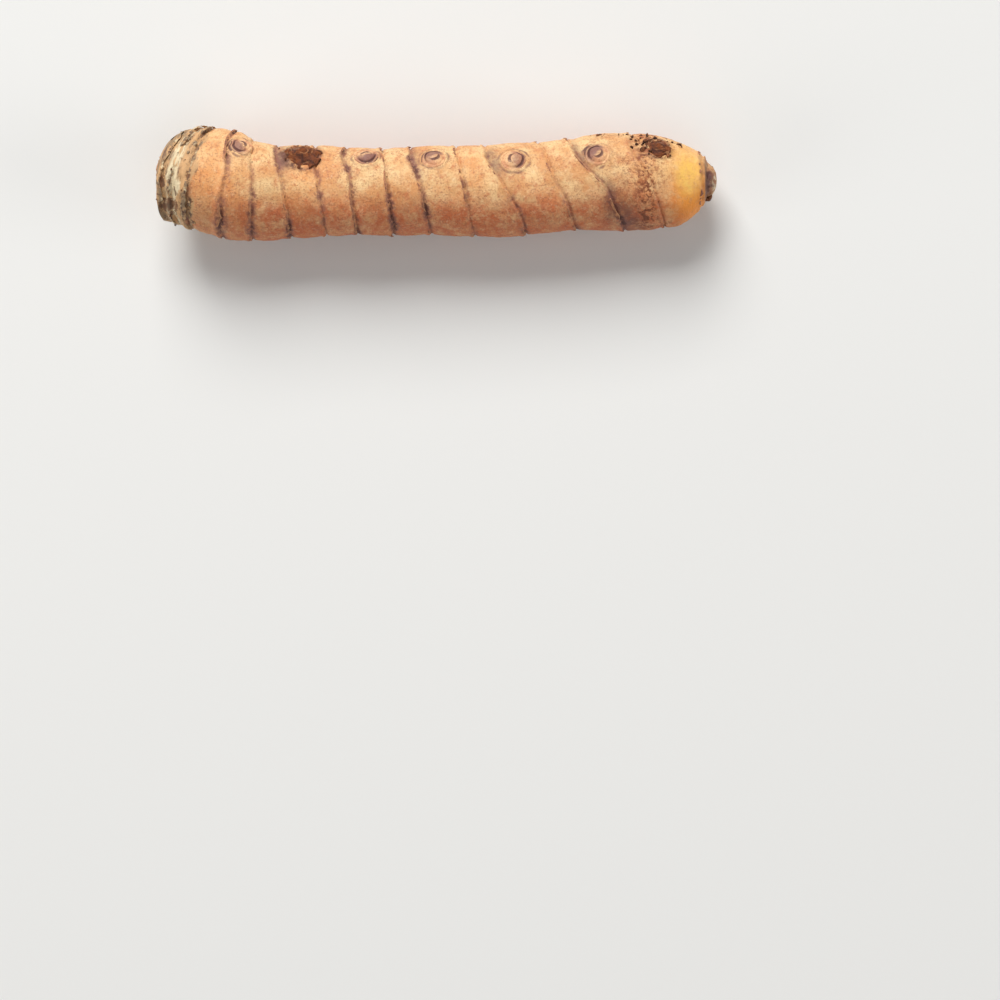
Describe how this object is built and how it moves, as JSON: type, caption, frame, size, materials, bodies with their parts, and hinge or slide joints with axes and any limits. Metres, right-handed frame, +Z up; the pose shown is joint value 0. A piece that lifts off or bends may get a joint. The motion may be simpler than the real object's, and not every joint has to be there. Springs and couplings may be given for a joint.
{
  "type": "turmeric root",
  "caption": "Fresh turmeric finger: a blunt ringed rhizome with small buds, a corky snapped base and a rounded tip, lying on its side.",
  "frame": {"origin": "under the middle of the finger's box, on the surface that it lies on", "axes": "+X along the finger, from the snapped base to the growing tip; +Y across it, to the side of the upper buds; +Z up"},
  "size_m": [0.0922, 0.0191, 0.0171],
  "materials": {
    "skin": "matte"
  },
  "bodies": {
    "root": {"rhizome": "skin"}
  },
  "joints": []
}
